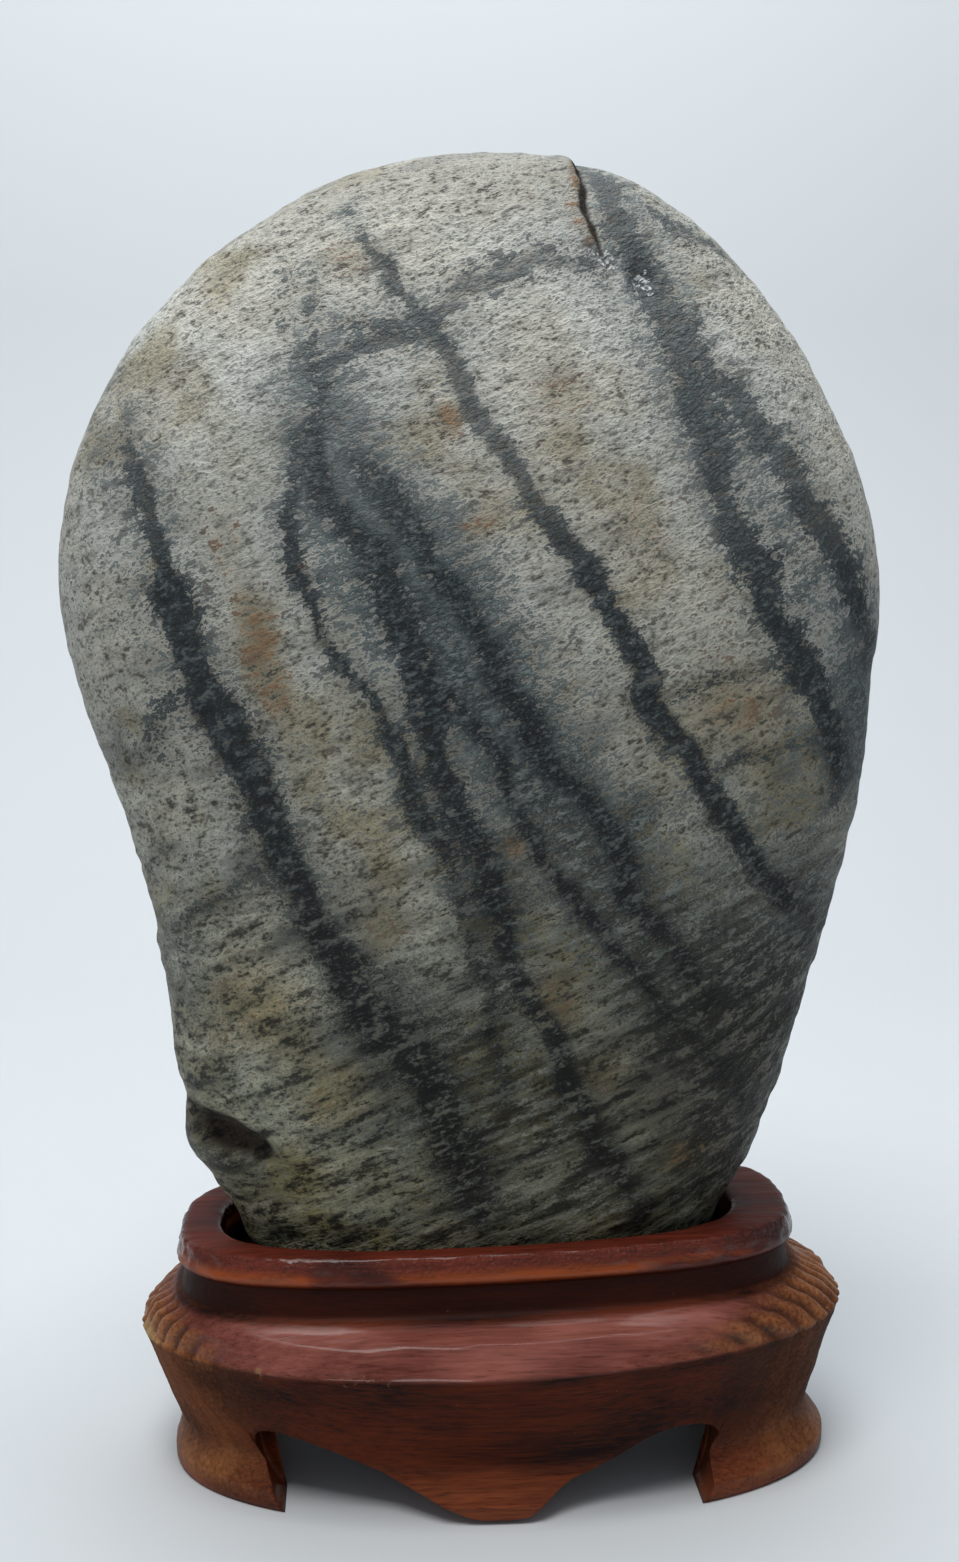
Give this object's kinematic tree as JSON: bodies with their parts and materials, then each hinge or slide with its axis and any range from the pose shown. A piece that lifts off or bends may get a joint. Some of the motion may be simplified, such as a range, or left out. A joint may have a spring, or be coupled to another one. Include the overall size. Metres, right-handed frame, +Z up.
{
  "type": "scholars rock on carved stand",
  "caption": "Upright water-worn viewing stone with dark veins, seated in a fitted carved hardwood stand with arched aprons and end feet.",
  "frame": {"origin": "on the surface the stand rests on, under the middle of the whole piece", "axes": "+Z up, front (the stone's veined face) towards -Y, +X to the viewer's right"},
  "size_m": [0.1664, 0.0782, 0.269],
  "materials": {
    "stone": "fine-grained grey-beige gneiss with blue-black veins, water-worn, semi-gloss",
    "hardwood": "reddish-brown carved hardwood, oiled, lacquered on the rim"
  },
  "bodies": {
    "root": {"stone": "stone", "stand": "hardwood"}
  },
  "joints": []
}
